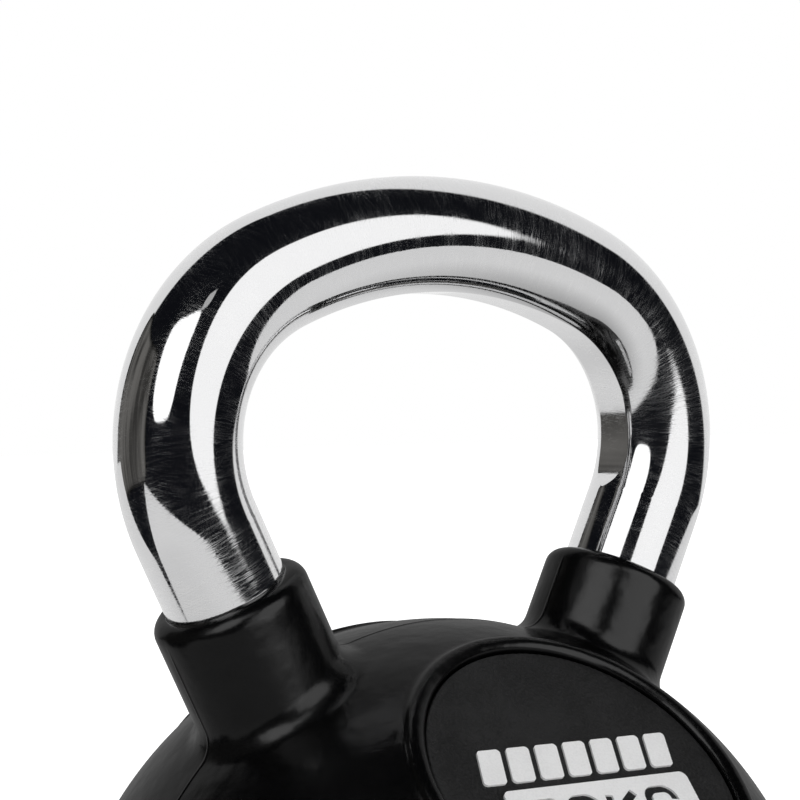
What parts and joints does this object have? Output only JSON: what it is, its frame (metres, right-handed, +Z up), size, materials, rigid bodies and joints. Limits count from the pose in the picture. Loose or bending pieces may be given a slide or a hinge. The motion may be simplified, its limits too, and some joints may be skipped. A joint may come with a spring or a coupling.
{
  "type": "kettlebell",
  "caption": "Rubber-coated kettlebell: an iron ball in a moulded rubber jacket, with a bent chrome steel bar handle, a flat foot and a round badge front and rear.",
  "frame": {"origin": "middle of the flat foot, on the floor", "axes": "+Z up; +X along the handle's plane, from one leg to the other; -Y towards the front badge"},
  "size_m": [0.19, 0.19, 0.2806],
  "materials": {
    "chrome": "polished chrome plate with fine scratches across the bar",
    "iron": "raw grey iron casting",
    "steel_pin": "ground steel",
    "rubber": "semi-gloss black moulded rubber",
    "badge_black": "matt black with a fine grain",
    "print_white": "matt white raised print"
  },
  "bodies": {
    "root": {"handle": "chrome", "handle_pins": "steel_pin", "iron_core": "iron", "rubber_jacket": "rubber", "front_badge": "badge_black", "rear_badge": "badge_black", "front_weight_plate": "print_white", "rear_weight_plate": "print_white", "front_mark": "print_white", "rear_mark": "print_white"}
  },
  "joints": []
}
